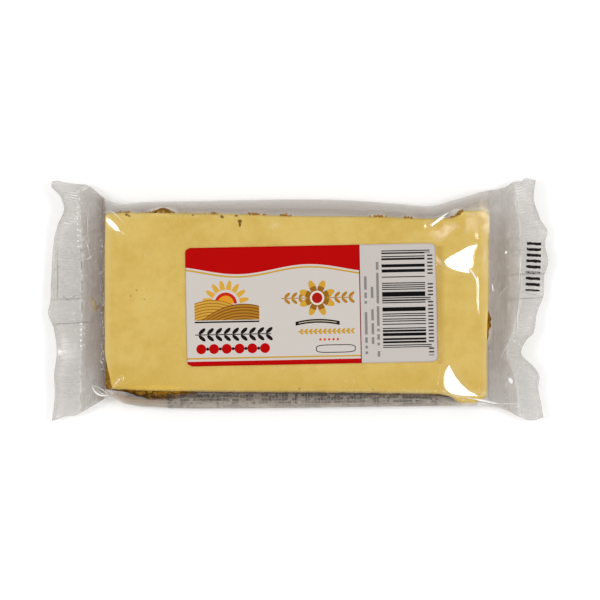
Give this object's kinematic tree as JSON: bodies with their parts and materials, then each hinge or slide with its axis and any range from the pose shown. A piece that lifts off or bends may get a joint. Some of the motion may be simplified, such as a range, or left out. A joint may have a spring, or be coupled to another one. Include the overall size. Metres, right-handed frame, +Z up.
{
  "type": "wrapped oat bar",
  "caption": "Oat bar with a white chocolate slab, sealed in a clear pillow pack with crimped end fins, a front label and a clear back label.",
  "frame": {"origin": "middle of the pack's footprint, on the surface that it lies on", "axes": "+X along the bar towards the fin with the date bars, +Y towards the side away from the back label, +Z up through the front label"},
  "size_m": [0.1618, 0.0786, 0.0144],
  "materials": {
    "clear_film": "clear glossy wrapping film, milky where it is crimped",
    "printed_label": "semi-gloss printed sticker with red fields and gold lines",
    "clear_label": "clear film sticker with rows of fine dark print",
    "white_chocolate": "pale yellow fat-based coating, satin",
    "oat_base": "baked oats in syrup, rough with glossy spots"
  },
  "bodies": {
    "root": {"wrapper": "clear_film", "front_label": "printed_label", "back_label": "clear_label"}
  },
  "joints": []
}
